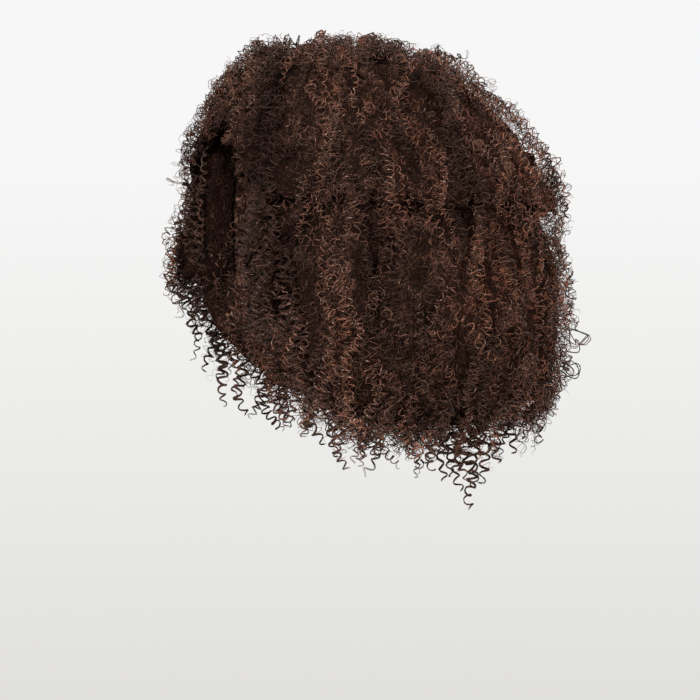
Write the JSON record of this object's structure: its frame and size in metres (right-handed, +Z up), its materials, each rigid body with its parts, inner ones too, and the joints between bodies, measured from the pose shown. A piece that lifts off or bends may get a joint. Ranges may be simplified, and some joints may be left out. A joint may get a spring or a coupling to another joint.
{
  "type": "afro wig",
  "caption": "Worn afro wig: a stretch cap under a rounded mass of tight dark brown curls, parted at the top, open at the face and neck, with ringlets below the hem.",
  "frame": {"origin": "crown seat: the point inside the cap that rests on the top of the wearer's head", "axes": "+Z up along the wearer's head, -Y out of the face opening, +X to the wearer's left"},
  "size_m": [0.331, 0.3128, 0.3753],
  "materials": {
    "cap": "dark stretch net, matt",
    "hair": "tight synthetic curls, soft sheen"
  },
  "bodies": {
    "root": {"wig_cap": "cap", "crown_left_hair": "hair", "crown_right_hair": "hair", "crown_back_hair": "hair", "left_front_lock": "hair", "left_side_hair": "hair", "left_rear_hair": "hair", "left_nape_hair": "hair", "right_front_lock": "hair", "right_side_hair": "hair", "right_rear_hair": "hair", "right_nape_hair": "hair"}
  },
  "joints": []
}
